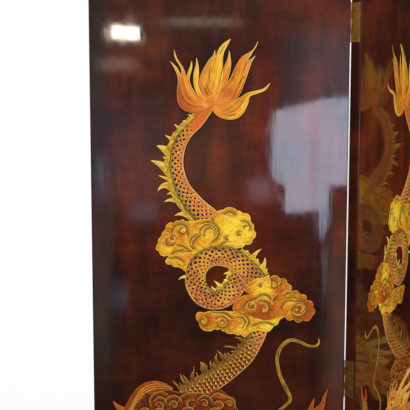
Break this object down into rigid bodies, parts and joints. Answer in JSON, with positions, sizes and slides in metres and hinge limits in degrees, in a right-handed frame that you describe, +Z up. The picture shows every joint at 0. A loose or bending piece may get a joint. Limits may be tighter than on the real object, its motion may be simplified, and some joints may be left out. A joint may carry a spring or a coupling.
{
  "type": "folding screen",
  "caption": "Free-standing folding screen of tall flat lacquered leaves joined edge to edge by butt hinges, standing in a zigzag.",
  "frame": {"origin": "on the floor, under the middle of the standing screen's outer box", "axes": "+Z up, +X along the row of leaves from the left leaf to the right one as seen from the front, and the painted faces look towards -Y"},
  "size_m": [1.7922, 0.2678, 1.806],
  "materials": {
    "painted_lacquer": "high gloss lacquer, polished by hand",
    "plain_lacquer": "gloss lacquer",
    "core_wood": "sawn, unfinished",
    "brass": "satin, slightly aged",
    "glide": "matte"
  },
  "bodies": {
    "leaf_1": {"leaf_1_front_face_board": "painted_lacquer", "leaf_1_back_face_board": "plain_lacquer", "leaf_1_left_stile": "plain_lacquer", "leaf_1_right_stile": "plain_lacquer", "leaf_1_rails": "plain_lacquer", "leaf_1_core_boards": "core_wood", "leaf_1_glides": "glide", "leaf_1_hinge_screws": "brass", "fold_12_hinge_1_left_plate": "brass", "fold_12_hinge_1_pin": "brass", "fold_12_hinge_2_left_plate": "brass", "fold_12_hinge_2_pin": "brass", "fold_12_hinge_3_left_plate": "brass", "fold_12_hinge_3_pin": "brass"},
    "leaf_2": {"leaf_2_front_face_board": "painted_lacquer", "leaf_2_back_face_board": "plain_lacquer", "leaf_2_left_stile": "plain_lacquer", "leaf_2_right_stile": "plain_lacquer", "leaf_2_rails": "plain_lacquer", "leaf_2_core_boards": "core_wood", "leaf_2_glides": "glide", "leaf_2_hinge_screws": "brass", "fold_12_hinge_1_right_plate": "brass", "fold_12_hinge_2_right_plate": "brass", "fold_12_hinge_3_right_plate": "brass", "fold_23_hinge_1_left_plate": "brass", "fold_23_hinge_1_pin": "brass", "fold_23_hinge_2_left_plate": "brass", "fold_23_hinge_2_pin": "brass", "fold_23_hinge_3_left_plate": "brass", "fold_23_hinge_3_pin": "brass"},
    "leaf_3": {"leaf_3_front_face_board": "painted_lacquer", "leaf_3_back_face_board": "plain_lacquer", "leaf_3_left_stile": "plain_lacquer", "leaf_3_right_stile": "plain_lacquer", "leaf_3_rails": "plain_lacquer", "leaf_3_core_boards": "core_wood", "leaf_3_glides": "glide", "leaf_3_hinge_screws": "brass", "fold_23_hinge_1_right_plate": "brass", "fold_23_hinge_2_right_plate": "brass", "fold_23_hinge_3_right_plate": "brass", "fold_34_hinge_1_left_plate": "brass", "fold_34_hinge_1_pin": "brass", "fold_34_hinge_2_left_plate": "brass", "fold_34_hinge_2_pin": "brass", "fold_34_hinge_3_left_plate": "brass", "fold_34_hinge_3_pin": "brass"},
    "leaf_4": {"leaf_4_front_face_board": "painted_lacquer", "leaf_4_back_face_board": "plain_lacquer", "leaf_4_left_stile": "plain_lacquer", "leaf_4_right_stile": "plain_lacquer", "leaf_4_rails": "plain_lacquer", "leaf_4_core_boards": "core_wood", "leaf_4_glides": "glide", "leaf_4_hinge_screws": "brass", "fold_34_hinge_1_right_plate": "brass", "fold_34_hinge_2_right_plate": "brass", "fold_34_hinge_3_right_plate": "brass"}
  },
  "joints": [
    {"name": "fold_12", "type": "hinge", "parent": "leaf_2", "child": "leaf_1", "pos_m": [-0.44985, -0.11162, 0.906], "axis": [0, 0, 1], "range_deg": [-120, 60]},
    {"name": "fold_23", "type": "hinge", "parent": "leaf_2", "child": "leaf_3", "pos_m": [0, 0.11162, 0.906], "axis": [0, 0, 1], "range_deg": [-120, 60]},
    {"name": "fold_34", "type": "hinge", "parent": "leaf_3", "child": "leaf_4", "pos_m": [0.44985, -0.11162, 0.906], "axis": [0, 0, -1], "range_deg": [-120, 60]}
  ]
}
